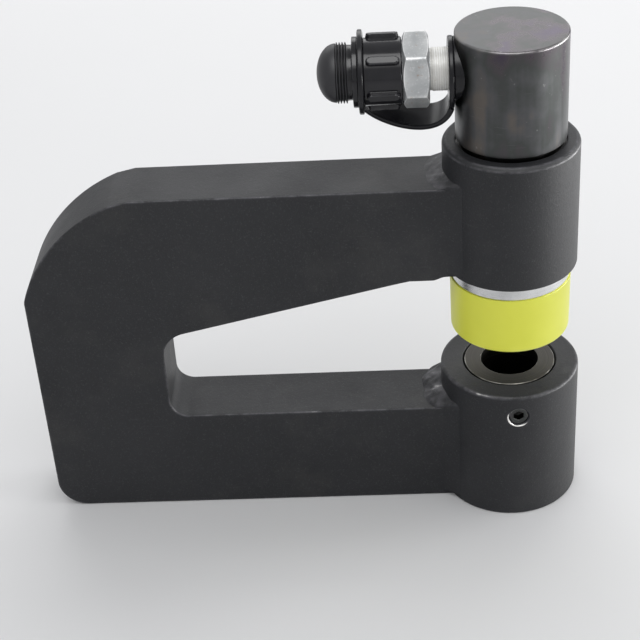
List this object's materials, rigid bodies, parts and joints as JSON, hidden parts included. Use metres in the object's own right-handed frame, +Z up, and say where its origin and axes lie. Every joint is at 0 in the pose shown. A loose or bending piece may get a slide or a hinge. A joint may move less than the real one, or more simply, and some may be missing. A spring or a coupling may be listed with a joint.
{
  "type": "hydraulic hole punch",
  "caption": "C-frame hydraulic hole punch: a ram in the upper boss drives a round punch with a urethane stripper into a die in the lower boss.",
  "frame": {"origin": "on the punch axis at the foot of the lower boss, in the mouth of the slug hole", "axes": "+Z up along the punch axis, -X along the throat to the closed back of the frame, -Y towards the die screw"},
  "size_m": [0.236, 0.06, 0.2207],
  "materials": {
    "frame_paint": "matt black powder coat with a fine speckle",
    "blued_steel": "blued, semi-gloss, worn at the edges",
    "bright_steel": "bare turned steel",
    "tool_steel": "black oxide over turning marks",
    "zinc_plate": "satin zinc plate",
    "polyurethane": "smooth yellow-green cast urethane",
    "bronze": "turned bronze",
    "black_rubber": "smooth black rubber",
    "black_plastic": "glossy moulded black plastic"
  },
  "bodies": {
    "frame": {"frame_plate": "frame_paint", "upper_boss": "frame_paint", "lower_boss": "frame_paint", "upper_weld": "frame_paint", "lower_weld": "frame_paint", "cylinder_barrel": "blued_steel", "guide_bush": "bronze", "rod_wiper": "black_rubber", "return_spring": "bright_steel", "die": "tool_steel", "coupler_body": "zinc_plate", "coupler_nose": "zinc_plate", "coupler_seal": "black_rubber", "poppet_spring": "bright_steel", "cap_strap": "black_rubber"},
    "ram": {"piston_rod": "bright_steel", "piston_seal": "black_rubber", "wear_ring": "bronze", "punch_holder": "bright_steel", "punch": "tool_steel", "punch_screw": "blued_steel", "stripper_ring": "polyurethane"},
    "die_lock": {"die_screw": "blued_steel"},
    "poppet": {"valve_poppet": "bright_steel"},
    "cap_carrier": {"strap_loop": "black_rubber"},
    "cap": {"dust_cap": "black_plastic", "cap_seal": "black_rubber"}
  },
  "joints": [
    {"name": "ram_slide", "type": "slide", "parent": "frame", "child": "ram", "axis": [0, 0, -1], "range_m": [0, 0.026], "stiffness_N_per_m": 3500, "springref_m": -0.015, "deforming": ["return_spring", "stripper_ring"]},
    {"name": "die_screw_turn", "type": "hinge", "parent": "frame", "child": "die_lock", "pos_m": [0.00174, -0.02494, 0.05356], "axis": [0.0698, -0.9976, 0], "range_deg": [0, 720]},
    {"name": "poppet_slide", "type": "slide", "parent": "frame", "child": "poppet", "axis": [1, 0, 0], "range_m": [0, 0.0025], "stiffness_N_per_m": 2000, "springref_m": -0.003, "deforming": ["poppet_spring"]},
    {"name": "cap_pull", "type": "slide", "parent": "frame", "child": "cap_carrier", "axis": [-1, 0, 0], "range_m": [0, 0.012], "deforming": ["cap_strap"]},
    {"name": "cap_turn", "type": "hinge", "parent": "cap_carrier", "child": "cap", "pos_m": [-0.06, 0, 0.204], "axis": [-1, 0, 0], "range_deg": [0, 2160]}
  ],
  "couplings": [
    {"joint": "cap_turn", "follows": "cap_pull", "rad_per_m": 3141.5}
  ]
}
